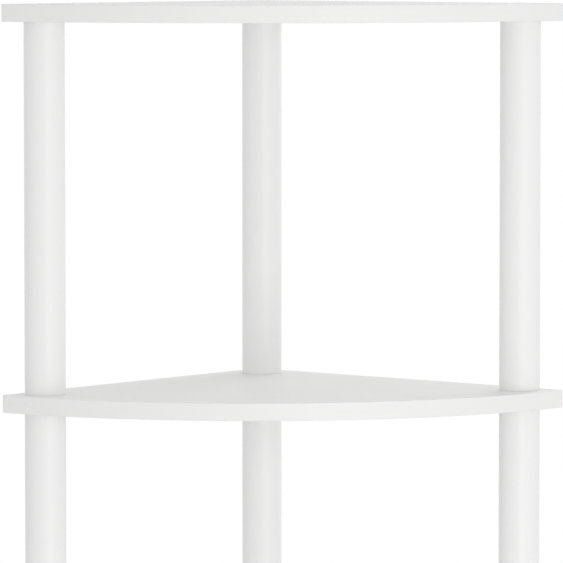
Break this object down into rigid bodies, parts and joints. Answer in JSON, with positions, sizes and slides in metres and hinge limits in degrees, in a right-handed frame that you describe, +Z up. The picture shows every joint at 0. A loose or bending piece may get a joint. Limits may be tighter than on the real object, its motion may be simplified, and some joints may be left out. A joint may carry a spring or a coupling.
{
  "type": "corner shelf unit",
  "caption": "Tall free-standing corner shelf unit: white quarter-round boards stacked on round tubular posts at the corner and at both tips.",
  "frame": {"origin": "on the floor, under the middle of the unit's bounding box in plan", "axes": "+Z up, -Y out of the curved front, +Y towards the corner of the room, +X to the right seen from the front; the two walls stand at 45 degrees to X and Y"},
  "size_m": [0.481, 0.337, 1.431],
  "materials": {
    "board": "particle board faced and edged in plain white laminate, satin",
    "tube": "extruded white plastic, soft gloss",
    "fitting": "moulded white plastic, matt"
  },
  "bodies": {
    "root": {"board_1": "board", "board_2": "board", "board_3": "board", "board_4": "board", "board_5": "board", "leg_back": "tube", "leg_left": "tube", "leg_right": "tube", "tube_back_1": "tube", "tube_back_2": "tube", "tube_back_3": "tube", "tube_back_4": "tube", "tube_left_1": "tube", "tube_left_2": "tube", "tube_left_3": "tube", "tube_left_4": "tube", "tube_right_1": "tube", "tube_right_2": "tube", "tube_right_3": "tube", "tube_right_4": "tube", "foot_back": "fitting", "foot_left": "fitting", "foot_right": "fitting", "foot_socket_back": "fitting", "foot_socket_left": "fitting", "foot_socket_right": "fitting", "socket_back_1": "fitting", "socket_back_2": "fitting", "socket_back_3": "fitting", "socket_back_4": "fitting", "socket_back_5": "fitting", "socket_left_1": "fitting", "socket_left_2": "fitting", "socket_left_3": "fitting", "socket_left_4": "fitting", "socket_left_5": "fitting", "socket_right_1": "fitting", "socket_right_2": "fitting", "socket_right_3": "fitting", "socket_right_4": "fitting", "socket_right_5": "fitting", "stud_back_1": "fitting", "stud_back_2": "fitting", "stud_back_3": "fitting", "stud_back_4": "fitting", "stud_left_1": "fitting", "stud_left_2": "fitting", "stud_left_3": "fitting", "stud_left_4": "fitting", "stud_right_1": "fitting", "stud_right_2": "fitting", "stud_right_3": "fitting", "stud_right_4": "fitting", "cap_back": "fitting", "cap_left": "fitting", "cap_right": "fitting"}
  },
  "joints": []
}
